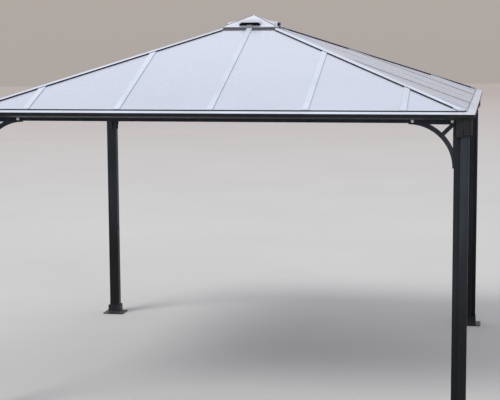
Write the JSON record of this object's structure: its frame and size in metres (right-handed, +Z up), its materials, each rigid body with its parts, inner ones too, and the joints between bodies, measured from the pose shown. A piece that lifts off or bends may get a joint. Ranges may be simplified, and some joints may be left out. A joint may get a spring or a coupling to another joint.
{
  "type": "metal gazebo",
  "caption": "Square hard-top garden gazebo with an aluminium frame, corner braces, an eave gutter, a glazed hipped roof and a vented cap.",
  "frame": {"origin": "centre of the plan on the ground, midway between the four feet", "axes": "+Z up, -Y towards the front (the side that faces the camera in the picture), +X to its right"},
  "size_m": [3.62, 3.62, 2.8503],
  "materials": {
    "frame_paint": "satin",
    "foot_paint": "satin",
    "gutter_paint": "satin",
    "moulding": "matt",
    "bar_paint": "satin",
    "hood_paint": "satin",
    "glazing": "gloss",
    "gasket": "matt",
    "bolt_cap": "bright"
  },
  "bodies": {
    "root": {"beam_back": "frame_paint", "beam_front": "frame_paint", "beam_left": "frame_paint", "beam_right": "frame_paint", "brace_back_left": "frame_paint", "brace_back_right": "frame_paint", "brace_bolt_caps": "bolt_cap", "brace_front_left": "frame_paint", "brace_front_right": "frame_paint", "brace_left_back": "frame_paint", "brace_left_front": "frame_paint", "brace_right_back": "frame_paint", "brace_right_front": "frame_paint", "foot_back_left": "foot_paint", "foot_back_right": "foot_paint", "foot_front_left": "foot_paint", "foot_front_right": "foot_paint", "glazing_bars_back": "bar_paint", "glazing_bars_front": "bar_paint", "glazing_bars_left": "bar_paint", "glazing_bars_right": "bar_paint", "gutter_back": "gutter_paint", "gutter_corner_back_left": "moulding", "gutter_corner_back_right": "moulding", "gutter_corner_front_left": "moulding", "gutter_corner_front_right": "moulding", "gutter_front": "gutter_paint", "gutter_left": "gutter_paint", "gutter_right": "gutter_paint", "hip_caps": "bar_paint", "hip_gaskets": "gasket", "hip_rafter_back_left": "frame_paint", "hip_rafter_back_right": "frame_paint", "hip_rafter_front_left": "frame_paint", "hip_rafter_front_right": "frame_paint", "post_back_left": "frame_paint", "post_back_right": "frame_paint", "post_front_left": "frame_paint", "post_front_right": "frame_paint", "roof_panels_back": "glazing", "roof_panels_front": "glazing", "roof_panels_left": "glazing", "roof_panels_right": "glazing", "vent_cap": "hood_paint", "vent_frame": "frame_paint"}
  },
  "joints": []
}
